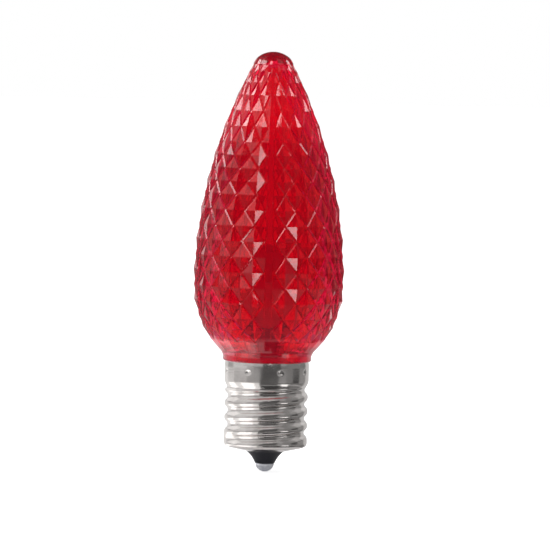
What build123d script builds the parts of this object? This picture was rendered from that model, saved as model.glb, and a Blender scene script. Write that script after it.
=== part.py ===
import os
from math import cos, radians, sin, sqrt

from build123d import *

os.makedirs("parts", exist_ok=True)

# A faceted string-light bulb with an intermediate screw base, in millimetres.
# The origin is the foot of the centre contact. Z runs up the bulb and -Y is its front.

# Centre contact and insulator
contact_height = 1.7
contact_radius = 1.85
contact_edge = 0.2          # upright edge of the button above its dome
stem_radius = 0.6
stem_length = 3.6
insulator_cone = 2.4        # height of the cone between the contact and the shell
cone_foot_radius = 1.95
cone_waist = 1.32           # height of the waist above the cone's foot
cone_waist_radius = 2.7
cone_top_radius = 3.8
insulator_disc = 2.2        # thickness of the disc inside the shell
insulator_boss_radius = 2.6
insulator_boss = 1.6

# Screw shell: rolled sheet with a round thread, 9 turns to the inch
sheet = 0.3
thread_radius = 8.25
thread_depth = 0.65
thread_pitch = 2.822
thread_turns = 3.75
thread_start = 180          # the first groove begins on the left
groove_radius = 0.8
foot_rise = 0.75            # slope of the turned-in floor
foot_corner = 0.95
foot_band = 2.35            # from the floor's edge to the first groove
shoulder_rise = 1.4
shoulder_overlap = 0.4      # how far the last groove runs into the shoulder
collar_radius = 8.35
collar_height = 4.0
dimple_count = 8
dimple_radius = 0.6
dimple_depth = 0.3
dimple_drop = 2.0           # below the rim
dimple_start = 289

# Lens: smooth inside, raised pyramids outside, a smooth strip at the front and the back
lip_height = 2.0
lip_overhang = 0.4
lip_flare = 0.63
belly_radius = 14.95
belly_rise = 15.0           # from the rim of the shell to the widest level
crown_radius = 3.9
row_counts = [3, 8, 4, 3, 1, 1, 1]
row_heights = [2.3, 3.04, 2.55, 3.05, 2.5, 2.0, 1.55]
columns_per_half = 9
strip_half_angle = 2.8
groove_setback = 1.4        # degrees between the strip and the last crossing
facet_slope = 0.18          # rise of a facet over its run
fade_levels = 3             # the grooves reach full depth at this level above the lip
crown_skirt = 1.0
crown_shoulder_radius = 3.5
crown_rise = 1.45
lens_wall = 2.2
tip_wall = 3.0
cavity_dome = 0.55
edge_step = 0.1             # the crown stands out past the grooves' ends, and the lip stays in
neck_wall = 1.5
neck_length = 3.7
stake_groove_depth = 0.3
stake_groove_height = 1.5

# Parts inside
board_width = 7.6
board_foot_width = 9.6
board_thickness = 1.0
board_foot = 3.0            # above the insulator's boss
board_height = 33.0
board_corner = 1.0
holder_flange = 1.0
holder_plug = 1.6
holder_cheek = 2.0
holder_cheek_height = 2.2
led_width = 2.8
led_length = 3.5
led_thickness = 1.4
led_window = 1.1
led_window_depth = 0.3
led_corner = 0.3
led_top_gap = 1.4           # between the top of the board and the first lamp
led_spacing = 6.0
bridge_width = 3.9
bridge_length = 4.7
bridge_thickness = 2.3
bridge_leg = 0.9
bridge_leg_width = 0.6
bridge_leg_thickness = 0.25
bridge_pitch = 2.5
bridge_rise = 4.0           # above the holder
resistor_length = 3.2
resistor_width = 1.6
resistor_thickness = 0.6
resistor_cap = 0.5
resistor_lip = 0.03
resistor_rise = 3.2
resistor_spacing = 4.4
lead_radius = 0.3
lead_bend = 1.2
pad_offset = 2.2
pad_rise = 1.2
joint_radius = 0.8
joint_length = 0.9
joint_taper = 14
lead_lift = 0.15            # of a lead off the face of the board
weld_rise = 0.6

# Clearances
slip = 0.15                 # between a piece and the hole that it drops into
slot_slip = 0.1
seat_gap = 0.05             # between a piece and the face that it rests on

# Levels up the bulb
shell_foot = contact_height + insulator_cone
groove_first = shell_foot + foot_band
groove_last = groove_first + thread_turns * thread_pitch
shoulder_foot = groove_last - shoulder_overlap
collar_foot = shoulder_foot + shoulder_rise
rim = collar_foot + collar_height
dimple_level = rim - dimple_drop
neck_foot = rim - neck_length
lattice_foot = rim + lip_height
belly_level = rim + belly_rise

levels = [lattice_foot]
for row_count, row_height in zip(row_counts, row_heights):
    for row in range(row_count):
        levels.append(levels[-1] + row_height)
lattice_top = levels[-1]
tip = lattice_top + crown_skirt + crown_rise
cavity_top = tip - tip_wall

# Radii that follow from the ones above
root_radius = thread_radius - thread_depth
shell_bore = root_radius - sheet
collar_bore = collar_radius - sheet
shell_hole = cone_top_radius + slip
disc_radius = shell_bore - slip
flange_radius = min(shell_bore, collar_bore) - slip    # it drops through the narrower bore
lip_radius = collar_radius + lip_overhang
lip_top_radius = lip_radius + lip_flare
neck_radius = collar_bore - slip
neck_bore = neck_radius - neck_wall


def arc_through(run, rise):
    # Radius of the arc that leaves the belly upright and moves in by run over the height rise
    return (run**2 + rise**2) / (2 * run)


flank_arc = arc_through(belly_radius - crown_radius, lattice_top - belly_level)
bowl_arc = arc_through(belly_radius - lip_top_radius, belly_level - lattice_foot)


def outline(z, inset=0.0):
    # Radius of the lens's smooth outline at the height z, or of that outline moved in by inset
    arc = flank_arc if z > belly_level else bowl_arc
    return belly_radius - arc + sqrt((arc - inset) ** 2 - (z - belly_level) ** 2)


column_pitch = (180 - 2 * strip_half_angle) / columns_per_half
last_column = 2 * columns_per_half


def around(radius, angle, side, z):
    # A point of the lens, by its angle from the front and its side: 1 is right and -1 is left
    return Vector(side * radius * sin(radians(angle)), -radius * cos(radians(angle)), z)


def is_crossing(level, column):
    return (level + column) % 2 == 0


def lattice_point(level, column, side):
    # Grooves cross at every second point, and the tip of a pyramid lies between two crossings
    z = levels[level]
    radius = outline(z)
    angle = strip_half_angle + column * column_pitch / 2
    if is_crossing(level, column):
        fade = min(1.0, level / fade_levels)
        radius -= fade * facet_slope * radius * radians(column_pitch / 2)
        if column == 0:
            angle += groove_setback
        if column == last_column:
            angle -= groove_setback
    return around(radius, angle, side, z)


def strip_point(level, column, side):
    angle = strip_half_angle + column * column_pitch / 2
    return around(outline(levels[level]), angle, side, levels[level])


def facet(*corners):
    return Face(Wire.make_polygon(corners, close=True))


def pyramid_facets(level, column, side):
    # The two facets between two levels and two half columns, split along the groove
    low = lattice_point(level, column, side)
    low_next = lattice_point(level, column + 1, side)
    high = lattice_point(level + 1, column, side)
    high_next = lattice_point(level + 1, column + 1, side)
    if is_crossing(level, column):
        return [facet(low, low_next, high_next), facet(low, high_next, high)]
    return [facet(low, low_next, high), facet(low_next, high_next, high)]


def groove_end(level, column, side):
    # The steep wall that closes a groove where it meets a smooth strip
    inner_level = level if is_crossing(level, column) else level + 1
    return facet(
        strip_point(level, column, side),
        lattice_point(inner_level, column, side),
        strip_point(level + 1, column, side),
    )


def strip_panel(level, column):
    return facet(
        strip_point(level, column, 1),
        strip_point(level, column, -1),
        strip_point(level + 1, column, -1),
        strip_point(level + 1, column, 1),
    )


def level_cap(level):
    # The flat polygon that closes the lattice at its first or last level
    corners = []
    for side, columns in ((1, range(last_column + 1)), (-1, range(last_column, -1, -1))):
        row = [lattice_point(level, column, side) for column in columns]
        if is_crossing(level, 0):
            row.insert(0, strip_point(level, columns[0], side))
            row.append(strip_point(level, columns[-1], side))
        corners += row
    return facet(*corners)


def faceted_body():
    faces = [level_cap(0), level_cap(len(levels) - 1)]
    for level in range(len(levels) - 1):
        for column in (0, last_column):
            faces.append(strip_panel(level, column))
            faces += [groove_end(level, column, side) for side in (1, -1)]
        for side in (1, -1):
            for column in range(last_column):
                faces += pyramid_facets(level, column, side)
    return Solid(Shell(faces))


lattice_body = faceted_body()

# Lens
inner_belly = belly_radius - lens_wall
bowl_meets_neck = belly_level - sqrt(
    (bowl_arc - lens_wall) ** 2 - (neck_bore - belly_radius + bowl_arc) ** 2
)
cavity_shoulder = cavity_top - cavity_dome
bowl_middle = (bowl_meets_neck + belly_level) / 2
flank_middle = (belly_level + cavity_shoulder) / 2
cavity_end_radius = outline(cavity_shoulder, lens_wall)

with BuildPart() as lens:
    add(lattice_body)
    # Crown
    with BuildSketch(Plane.XZ):
        with BuildLine():
            Polyline(
                (0, lattice_top),
                (crown_radius + edge_step, lattice_top),
                (crown_shoulder_radius, lattice_top + crown_skirt),
            )
            RadiusArc(
                (crown_shoulder_radius, lattice_top + crown_skirt),
                (0, tip),
                -arc_through(crown_rise, crown_shoulder_radius),
            )
            Line((0, tip), (0, lattice_top))
        make_face()
    revolve(axis=Axis.Z)
    # Lip and neck
    with BuildSketch(Plane.XZ):
        with BuildLine():
            Polyline(
                (0, lattice_foot),
                (lip_top_radius - edge_step, lattice_foot),
                (lip_radius, rim + lip_height / 2),
                (lip_radius, rim),
                (neck_radius, rim),
                (neck_radius, neck_foot),
                (0, neck_foot),
                close=True,
            )
        make_face()
    revolve(axis=Axis.Z)
    # Cavity
    with BuildSketch(Plane.XZ):
        with BuildLine():
            Polyline((0, neck_foot), (neck_bore, neck_foot), (neck_bore, bowl_meets_neck))
            ThreePointArc(
                (neck_bore, bowl_meets_neck),
                (outline(bowl_middle, lens_wall), bowl_middle),
                (inner_belly, belly_level),
            )
            ThreePointArc(
                (inner_belly, belly_level),
                (outline(flank_middle, lens_wall), flank_middle),
                (cavity_end_radius, cavity_shoulder),
            )
            RadiusArc(
                (cavity_end_radius, cavity_shoulder),
                (0, cavity_top),
                -arc_through(cavity_top - cavity_shoulder, cavity_end_radius),
            )
            Line((0, cavity_top), (0, neck_foot))
        make_face()
    revolve(axis=Axis.Z, mode=Mode.SUBTRACT)
    # Groove that the collar's dimples press into
    with BuildSketch(Plane.XY.offset(dimple_level - stake_groove_height / 2)):
        Circle(neck_radius + slip)
        Circle(neck_radius - stake_groove_depth, mode=Mode.SUBTRACT)
    extrude(amount=stake_groove_height, mode=Mode.SUBTRACT)
lens.part.label = "lens"

# Screw shell
dimple_centre = collar_radius - dimple_depth + dimple_radius
groove_centre_radius = root_radius + groove_radius


def thread_coil(radius, section_radius, turns, first_level):
    # A round bar wound up the shell, right-handed, from its left side
    with BuildPart() as coil:
        with BuildLine() as path:
            Helix(thread_pitch, turns * thread_pitch, radius, center=(0, 0, first_level))
        with BuildSketch(Plane(path.line @ 0, z_dir=path.line % 0)):
            Circle(section_radius)
        sweep(path=path.line, is_frenet=True)
    return coil.part


groove_coil = thread_coil(groove_centre_radius, groove_radius, thread_turns, groove_first)
crest_coil = thread_coil(
    shell_bore, thread_depth, thread_turns - 1, groove_first + thread_pitch / 2
)

with BuildPart() as shell_space:
    with BuildSketch(Plane.XZ):
        with BuildLine():
            Polyline(
                (0, shell_foot - slip),
                (shell_hole, shell_foot - slip),
                (shell_hole, shell_foot + sheet),
                (shell_bore, shell_foot + foot_rise + sheet),
                (shell_bore, shoulder_foot + sheet / 2),
                (collar_bore, collar_foot + sheet / 2),
                (collar_bore, rim + slip),
                (0, rim + slip),
                close=True,
            )
        make_face()
    revolve(axis=Axis.Z)
    with Locations((0, 0, dimple_level)):
        with PolarLocations(dimple_centre, dimple_count, start_angle=dimple_start):
            Sphere(dimple_radius + sheet, mode=Mode.SUBTRACT)
    # The inner side of the thread lies under each crest
    add(crest_coil, rotation=(0, 0, thread_start))

with BuildPart() as screw_shell:
    with BuildSketch(Plane.XZ):
        with BuildLine():
            Polyline(
                (0, shell_foot),
                (shell_hole, shell_foot),
                (thread_radius - foot_corner, shell_foot + foot_rise),
                (thread_radius, shell_foot + foot_rise + foot_corner),
                (thread_radius, shoulder_foot - shoulder_overlap),
                (root_radius, shoulder_foot),
                (collar_radius, collar_foot),
                (collar_radius, rim),
                (0, rim),
                close=True,
            )
        make_face()
    revolve(axis=Axis.Z)
    add(groove_coil, rotation=(0, 0, thread_start), mode=Mode.SUBTRACT)
    with Locations((0, 0, dimple_level)):
        with PolarLocations(dimple_centre, dimple_count, start_angle=dimple_start):
            Sphere(dimple_radius, mode=Mode.SUBTRACT)
    add(shell_space.part, mode=Mode.SUBTRACT)
screw_shell.part.label = "screw_shell"

# Centre contact: a domed button on a stem
stem_top = contact_height + stem_length

with BuildPart() as center_contact:
    with BuildSketch(Plane.XZ):
        with BuildLine():
            dome = RadiusArc(
                (0, 0),
                (contact_radius, contact_height - contact_edge),
                -arc_through(contact_height - contact_edge, contact_radius),
            )
            Polyline(
                dome @ 1,
                (contact_radius, contact_height),
                (stem_radius, contact_height),
                (stem_radius, stem_top),
                (0, stem_top),
                (0, 0),
            )
        make_face()
    revolve(axis=Axis.Z)
center_contact.part.label = "center_contact"

# Insulator: a flared cone below the shell and a disc on its floor
floor_level = shell_foot + sheet + seat_gap
floor_slope = foot_rise / (shell_bore - shell_hole)
disc_edge_level = floor_level + floor_slope * (disc_radius - shell_hole)
disc_top = shell_foot + foot_rise + sheet + insulator_disc
boss_top = disc_top + insulator_boss

with BuildPart() as insulator:
    with BuildSketch(Plane.XZ):
        with BuildLine():
            flare = ThreePointArc(
                (cone_foot_radius, contact_height),
                (cone_waist_radius, contact_height + cone_waist),
                (cone_top_radius, shell_foot),
            )
            Polyline(
                flare @ 1,
                (cone_top_radius, floor_level),
                (shell_hole, floor_level),
                (disc_radius, disc_edge_level),
                (disc_radius, disc_top),
                (insulator_boss_radius, disc_top),
                (insulator_boss_radius, boss_top),
                (stem_radius + slip, boss_top),
                (stem_radius + slip, contact_height),
                flare @ 0,
            )
        make_face()
    revolve(axis=Axis.Z)
insulator.part.label = "insulator"

# Board holder: a moulded plug in the neck of the lens with two cheeks beside the board
plug_top = neck_foot + holder_plug
cheek_top = plug_top + holder_cheek_height
slot_width = board_width + 2 * slot_slip
slot_thickness = board_thickness + 2 * slot_slip

with BuildPart() as board_holder:
    with BuildSketch(Plane.XY.offset(neck_foot - holder_flange)):
        Circle(flange_radius)
    extrude(amount=holder_flange)
    with BuildSketch(Plane.XY.offset(neck_foot)):
        Circle(neck_bore - slip)
    extrude(amount=holder_plug)
    with BuildSketch(Plane.XY.offset(plug_top)):
        Rectangle(slot_width, slot_thickness + 2 * holder_cheek)
    extrude(amount=holder_cheek_height)
    with BuildSketch(Plane.XY.offset(neck_foot - holder_flange)):
        Rectangle(slot_width, slot_thickness)
    extrude(amount=cheek_top - neck_foot + holder_flange, mode=Mode.SUBTRACT)
board_holder.part.label = "board_holder"

# Circuit board: a narrow tongue above the holder, with a wider foot that stops under it
board_bottom = boss_top + board_foot
board_top = board_bottom + board_height
shoulder_level = neck_foot - holder_flange - seat_gap
face_front = -board_thickness / 2
face_back = board_thickness / 2

with BuildPart() as circuit_board:
    with BuildSketch(Plane.XZ.offset(-face_back)):
        with BuildLine():
            Polyline(
                (-board_foot_width / 2, board_bottom),
                (board_foot_width / 2, board_bottom),
                (board_foot_width / 2, shoulder_level),
                (board_width / 2, shoulder_level),
                (board_width / 2, board_top - board_corner),
                (board_width / 2 - board_corner, board_top),
                (board_corner - board_width / 2, board_top),
                (-board_width / 2, board_top - board_corner),
                (-board_width / 2, shoulder_level),
                (-board_foot_width / 2, shoulder_level),
                close=True,
            )
        make_face()
    extrude(amount=board_thickness)
circuit_board.part.label = "circuit_board"


def face_plane(side, x, z):
    # A plane on the board's front (side -1) or back (side 1), facing outwards with its y up
    return Plane(
        origin=(x, side * board_thickness / 2, z),
        x_dir=(-side, 0, 0),
        z_dir=(0, side, 0),
    )


# Lamps: two on each face, with a round window in a white body
lamp_upper = board_top - led_top_gap - led_length / 2
lamp_places = {
    "led_front_upper": (-1, lamp_upper),
    "led_front_lower": (-1, lamp_upper - led_spacing),
    "led_back_upper": (1, lamp_upper),
    "led_back_lower": (1, lamp_upper - led_spacing),
}
for lamp_name, (side, lamp_level) in lamp_places.items():
    lamp_plane = face_plane(side, 0, lamp_level)
    with BuildPart() as lamp:
        with BuildSketch(lamp_plane):
            RectangleRounded(led_width, led_length, led_corner)
        extrude(amount=led_thickness)
        with BuildSketch(lamp_plane.offset(led_thickness)):
            Circle(led_window)
        extrude(amount=-led_window_depth, mode=Mode.SUBTRACT)
    lamp.part.label = lamp_name
    export_step(lamp.part, f"parts/{lamp_name}.step")

# Bridge rectifier on the front face, on four bent legs
bridge_plane = face_plane(-1, 0, cheek_top + bridge_rise)
bridge_gap = bridge_leg_thickness

with BuildPart() as bridge_rectifier:
    with BuildSketch(bridge_plane.offset(bridge_gap)):
        Rectangle(bridge_width, bridge_length)
    extrude(amount=bridge_thickness)
    with BuildSketch(bridge_plane):
        with GridLocations(bridge_width + bridge_leg, bridge_pitch, 2, 2):
            Rectangle(bridge_leg, bridge_leg_width)
    extrude(amount=bridge_gap + bridge_thickness / 2)
    with BuildSketch(bridge_plane.offset(bridge_leg_thickness)):
        with GridLocations(bridge_width + 2 * bridge_leg, bridge_pitch, 2, 2):
            Rectangle(2 * (bridge_leg - bridge_leg_thickness), bridge_leg_width)
    extrude(amount=bridge_thickness, mode=Mode.SUBTRACT)
bridge_rectifier.part.label = "bridge_rectifier"

# Chip resistors on the back face, with plated ends
resistor_level = cheek_top + resistor_rise
for count, resistor_name in enumerate(("resistor_lower", "resistor_upper")):
    resistor_plane = face_plane(1, 0, resistor_level + count * resistor_spacing)
    with BuildPart() as resistor:
        with BuildSketch(resistor_plane):
            Rectangle(resistor_length, resistor_width)
        extrude(amount=resistor_thickness - 2 * resistor_lip)
        with BuildSketch(resistor_plane):
            with GridLocations(resistor_length - resistor_cap, 0, 2, 1):
                Rectangle(resistor_cap, resistor_width)
        extrude(amount=resistor_thickness)
    resistor.part.label = resistor_name
    export_step(resistor.part, f"parts/{resistor_name}.step")

# Leads: one from the centre contact and one from the shell, both to pads on the front face
pad_level = board_bottom + pad_rise
lead_plane_y = face_front - lead_radius - lead_lift
lead_end = pad_level + joint_radius
weld_level = boss_top + weld_rise
weld_radius = shell_bore - seat_gap - lead_radius

center_route = [
    (0, 0, stem_top),
    (0, 0, boss_top + lead_bend / 2),
    (-pad_offset, lead_plane_y, board_bottom - lead_bend / 2),
    (-pad_offset, lead_plane_y, lead_end),
]
shell_route = [
    (weld_radius, lead_plane_y, weld_level),
    (pad_offset + lead_bend, lead_plane_y, weld_level),
    (pad_offset, lead_plane_y, weld_level + lead_bend),
    (pad_offset, lead_plane_y, lead_end),
]


def build_lead(name, route):
    with BuildPart() as lead:
        with BuildLine() as path:
            FilletPolyline(*route, radius=lead_bend)
        with BuildSketch(Plane(origin=path.line @ 0, z_dir=path.line % 0)):
            Circle(lead_radius)
        sweep(path=path.line)
    lead.part.label = name
    export_step(lead.part, f"parts/{name}.step")
    return lead.part


center_lead = build_lead("center_lead", center_route)
shell_lead = build_lead("shell_lead", shell_route)

# Solder: a cone over each lead on the board, and a bead where the other lead meets the shell
with BuildPart() as board_solder:
    with BuildSketch(face_plane(-1, 0, pad_level)):
        with GridLocations(2 * pad_offset, 0, 2, 1):
            Circle(joint_radius)
    extrude(amount=joint_length, taper=joint_taper)
    add(center_lead, mode=Mode.SUBTRACT)
    add(shell_lead, mode=Mode.SUBTRACT)
board_solder.part.label = "board_solder"

weld_face = sqrt((shell_bore - seat_gap) ** 2 - (joint_radius - lead_plane_y) ** 2)
with BuildPart() as shell_solder:
    with BuildSketch(Plane((weld_face, lead_plane_y, weld_level), z_dir=(-1, 0, 0))):
        Circle(joint_radius)
    extrude(amount=joint_length, taper=joint_taper)
    add(shell_lead, mode=Mode.SUBTRACT)
shell_solder.part.label = "shell_solder"

export_step(lens.part, "parts/lens.step")
export_step(screw_shell.part, "parts/screw_shell.step")
export_step(center_contact.part, "parts/center_contact.step")
export_step(insulator.part, "parts/insulator.step")
export_step(board_holder.part, "parts/board_holder.step")
export_step(circuit_board.part, "parts/circuit_board.step")
export_step(bridge_rectifier.part, "parts/bridge_rectifier.step")
export_step(board_solder.part, "parts/board_solder.step")
export_step(shell_solder.part, "parts/shell_solder.step")
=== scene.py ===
import math

import bmesh
import bpy
from mathutils import Matrix, Vector, noise


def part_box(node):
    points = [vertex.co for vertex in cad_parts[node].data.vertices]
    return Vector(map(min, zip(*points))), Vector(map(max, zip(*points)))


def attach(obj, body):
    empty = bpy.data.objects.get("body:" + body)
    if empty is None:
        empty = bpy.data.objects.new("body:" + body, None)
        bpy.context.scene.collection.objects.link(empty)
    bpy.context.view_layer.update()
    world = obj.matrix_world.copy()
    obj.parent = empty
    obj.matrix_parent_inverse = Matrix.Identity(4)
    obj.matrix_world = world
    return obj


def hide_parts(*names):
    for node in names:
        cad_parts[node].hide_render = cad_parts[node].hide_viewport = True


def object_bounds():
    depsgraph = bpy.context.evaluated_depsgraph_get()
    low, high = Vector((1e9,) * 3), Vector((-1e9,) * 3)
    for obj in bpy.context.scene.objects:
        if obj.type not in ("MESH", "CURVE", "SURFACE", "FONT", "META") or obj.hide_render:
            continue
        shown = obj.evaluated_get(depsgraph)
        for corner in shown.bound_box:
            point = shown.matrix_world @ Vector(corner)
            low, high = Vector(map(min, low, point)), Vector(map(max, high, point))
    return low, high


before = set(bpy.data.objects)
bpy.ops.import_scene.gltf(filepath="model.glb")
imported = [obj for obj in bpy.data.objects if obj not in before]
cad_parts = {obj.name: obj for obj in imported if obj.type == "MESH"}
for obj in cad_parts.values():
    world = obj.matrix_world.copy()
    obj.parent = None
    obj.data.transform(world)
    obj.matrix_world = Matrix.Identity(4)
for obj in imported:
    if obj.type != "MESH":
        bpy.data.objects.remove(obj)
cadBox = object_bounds()
mm = 0.001
print("frame loaded:", len(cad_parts), "nodes")


def linearColor(code):
    # sRGB hex to the linear colour that the shaders take
    channels = [int(code[i:i + 2], 16) / 255 for i in (1, 3, 5)]
    return [c / 12.92 if c <= 0.04045 else ((c + 0.055) / 1.055) ** 2.4 for c in channels] + [1.0]


def addNode(tree, kind, settings=None, links=None):
    # settings go to input sockets by name, and links are (output socket, input name) pairs
    node = tree.nodes.new(kind)
    for key, value in (settings or {}).items():
        node.inputs[key].default_value = value
    for source, key in links or []:
        tree.links.new(source, node.inputs[key])
    return node


def newMaterial(name, settings):
    material = bpy.data.materials.new(name)
    material.use_nodes = True
    tree = material.node_tree
    tree.nodes.clear()
    shader = addNode(tree, "ShaderNodeBsdfPrincipled", settings)
    output = addNode(tree, "ShaderNodeOutputMaterial")
    tree.links.new(shader.outputs[0], output.inputs["Surface"])
    return material, tree, shader


def grainPattern(tree, grainMm, detail=3, stretch=(1, 1, 1)):
    # noise fixed to the piece, with grains about grainMm across
    coords = addNode(tree, "ShaderNodeTexCoord")
    mapping = addNode(
        tree, "ShaderNodeMapping", {"Scale": stretch}, [(coords.outputs["Object"], "Vector")]
    )
    grain = addNode(
        tree, "ShaderNodeTexNoise", {"Scale": 1 / (grainMm * mm), "Detail": detail},
        [(mapping.outputs[0], "Vector")],
    )
    return grain.outputs["Fac"]


patternMiddle = (0.3, 0.7)    # most values of a noise lie between these


def applyPattern(tree, shader, pattern, colors=None, roughness=None, depthMm=None):
    # lets a pattern sway the colour and the roughness between two values each, and lift the surface
    if colors:
        ramp = addNode(tree, "ShaderNodeValToRGB", links=[(pattern, "Fac")])
        for element, position, color in zip(ramp.color_ramp.elements, patternMiddle, colors):
            element.position = position
            element.color = linearColor(color)
        tree.links.new(ramp.outputs["Color"], shader.inputs["Base Color"])
    if roughness:
        sway = addNode(tree, "ShaderNodeMapRange", {
            "From Min": patternMiddle[0], "From Max": patternMiddle[1],
            "To Min": roughness[0], "To Max": roughness[1],
        }, [(pattern, "Value")])
        tree.links.new(sway.outputs[0], shader.inputs["Roughness"])
    if depthMm:
        bump = addNode(
            tree, "ShaderNodeBump", {"Strength": 1.0, "Distance": depthMm * mm}, [(pattern, "Height")]
        )
        tree.links.new(bump.outputs[0], shader.inputs["Normal"])


# Camera: a long lens just above the horizon, rolled a little so that the bulb leans right
camera = {
    "elevation": 3.3,
    "roll": 1.28,
    "distance": 1.2,
    "pixelsPerMm": 5.05,
    "imageSide": 550,
    "footPixel": (264.5, 471.3),    # where the foot of the bulb stands in the picture
    "sensor": 36.0,
    "clipNear": 0.05,
    "clipFar": 20,
}


def makeCamera(c):
    elevation, roll = math.radians(c["elevation"]), math.radians(c["roll"])
    forward = Vector((0, math.cos(elevation), -math.sin(elevation)))
    level = Vector((1, 0, 0))
    upright = Vector((0, math.sin(elevation), math.cos(elevation)))
    right = level * math.cos(roll) + upright * math.sin(roll)
    up = upright * math.cos(roll) - level * math.sin(roll)
    middle = c["imageSide"] / 2
    aside = (middle - c["footPixel"][0]) / c["pixelsPerMm"] * mm
    above = (c["footPixel"][1] - middle) / c["pixelsPerMm"] * mm
    target = right * aside + up * above
    data = bpy.data.cameras.new("photoCamera")
    data.sensor_width = c["sensor"]
    data.lens = c["sensor"] * c["distance"] / (c["imageSide"] / c["pixelsPerMm"] * mm)
    data.clip_start, data.clip_end = c["clipNear"], c["clipFar"]
    cam = bpy.data.objects.new("photoCamera", data)
    bpy.context.scene.collection.objects.link(cam)
    turn = Matrix((right, up, -forward)).transposed().to_4x4()
    cam.matrix_world = Matrix.Translation(target - forward * c["distance"]) @ turn
    bpy.context.scene.camera = cam


makeCamera(camera)
print("camera placed")

# Studio: pale floor, soft lamps for the light, and a tent of glossy cards that only reflections see
studio = {
    "floorSide": 5.0,
    "floorColor": "#E9E9EA",
    "floorCamera": 0.62,      # what each kind of ray sees on top of the floor's own light
    "floorThrough": 0.34,
    "worldLight": 0.55,
    "worldThrough": 0.62,     # the room above the horizon, as it shows through the lens
    "tentRadius": 0.6,
    "tentMiddle": 0.04,
    "tentStep": 0.02,         # share of the radius by which one card stands inside the next
    "cardLift": 0.0005,       # height of one step above the floor
    "cardSteps": 24,          # squares along each side of a card
}
softBoxes = [
    # name, azimuth from the front (right is positive), elevation, distance, width, height, radiance
    ("softLeft", -55, 35, 0.6, 0.5, 0.45, 1.6),
    ("softFront", 12, 25, 0.7, 0.5, 0.5, 0.7),
    ("softRight", 65, 25, 0.6, 0.3, 0.4, 0.8),
    ("softTop", 20, 82, 0.7, 0.6, 0.6, 1.2),
    ("softBack", 170, 35, 0.7, 0.5, 0.4, 1.2),
]
domeCards = [
    # name, azimuth from, to, elevation from, to, radiance, step in towards the bulb
    # the room: large dim patches, pale on the left and low behind, dark in front and on the right
    ("roomSideLow", -125, -85, -4, 12, 0.12, 0),
    ("roomSide", -125, -85, 12, 44, 0.6, 0),
    ("roomLeftLow", -85, -12, -4, 12, 0.15, 0),
    ("roomLeft", -85, -12, 12, 44, 0.8, 0),
    ("roomLeftTop", -125, -56, 44, 66, 0.35, 0),
    ("roomNearTop", -56, -12, 44, 66, 0.12, 0),
    ("roomFront", -12, 44, -4, 44, 0.03, 0),
    ("roomFrontTop", -12, 44, 44, 66, 0.08, 0),
    ("roomRight", 44, 125, -4, 66, 0.12, 0),
    ("roomBackRight", 125, 158, -4, 66, 0.12, 0),
    ("roomBackLow", 158, 212, -4, 20, 0.9, 0),
    ("roomBack", 158, 212, 20, 66, 0.06, 0),
    ("roomBackLeft", 212, 235, -4, 66, 0.25, 0),
    ("roomZenith", -180, 180, 66, 90, 0.05, 0),
    # keys and gaps: small bright patches that the groove walls pick up as fine light lines
    ("keyHigh", -92, -56, 42, 55, 6.0, 1),
    ("keyFront", -28, -9, 46, 57, 5.0, 1),
    ("keySide", -122, -99, 31, 44, 7.0, 1),
    ("keyRight", 99, 120, 31, 43, 5.0, 1),
    ("gapNear", -53, -43, 35, 43, 5.0, 1),
    ("gapMiddle", -73, -66, 33, 39, 5.0, 1),
    ("gapFar", -92, -79, 33, 42, 5.0, 1),
    ("gapRight", 19, 31, 40, 50, 2.5, 1),
    # a soft strip for the upper right, and a dark flag that keeps some facets deep red
    ("stripRight", 38, 72, 47, 78, 0.6, 1),
    ("flagLeft", -39.5, -30.5, -4, 44, 0.02, 1),
]
uprightCards = [
    # name, azimuth from, to, height from, to in mm, radius, radiance
    # glints: narrow bright strips that show as the light triangles beside the smooth strip
    ("glintLow", 5.5, 11.4, 45, 74, 150, 5.0),
    ("glintMiddle", 5.5, 11.4, 89, 102, 150, 5.0),
    ("glintHigh", 5.5, 11.4, 152, 235, 150, 4.5),
    # a low card for the solder button
    ("footLeft", -80, -5, 0, 1.8, 15, 1.6),
    # fences: what the thread mirrors from the side, bright on the left, dark in the middle
    ("fenceFront", -15, 28, 0, 18, 27, 0.1),
    ("fenceFoot", -15, 28, 0, 3.5, 26, 0.4),
    ("fenceBackLeft", -180, -125, 0, 17, 60, 0.89),
    ("fenceSideLeft", -125, -95, 0, 17, 60, 0.75),
    ("fenceLeft", -95, -52, 0, 17, 60, 0.5),
    ("fenceFrontLeft", -52, -15, 0, 17, 60, 0.38),
    ("fenceFrontRight", 28, 52, 0, 17, 60, 0.32),
    ("fenceRight", 52, 72, 0, 17, 60, 0.22),
    ("fenceDark", 72, 95, 0, 17, 60, 0.07),
    ("fenceSideRight", 95, 125, 0, 17, 60, 0.3),
    ("fenceBackRight", 125, 180, 0, 17, 60, 0.6),
    # bands: the same for the collar
    ("bandFront", -9, 33, 18, 26, 27, 0.07),
    ("bandBackLeft", -180, -125, 17, 26, 60, 0.77),
    ("bandSideLeft", -125, -98, 17, 26, 60, 0.45),
    ("bandLeft", -98, -52, 17, 26, 60, 0.7),
    ("bandNearLeft", -52, -33, 17, 26, 60, 0.45),
    ("bandFrontLeft", -33, -22, 17, 26, 60, 0.26),
    ("bandFrontDim", -22, -9, 17, 26, 60, 0.16),
    ("bandFrontRight", 33, 52, 17, 26, 60, 0.17),
    ("bandRight", 52, 125, 17, 26, 60, 0.22),
    ("bandBackRight", 125, 180, 17, 26, 60, 0.6),
]
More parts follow.
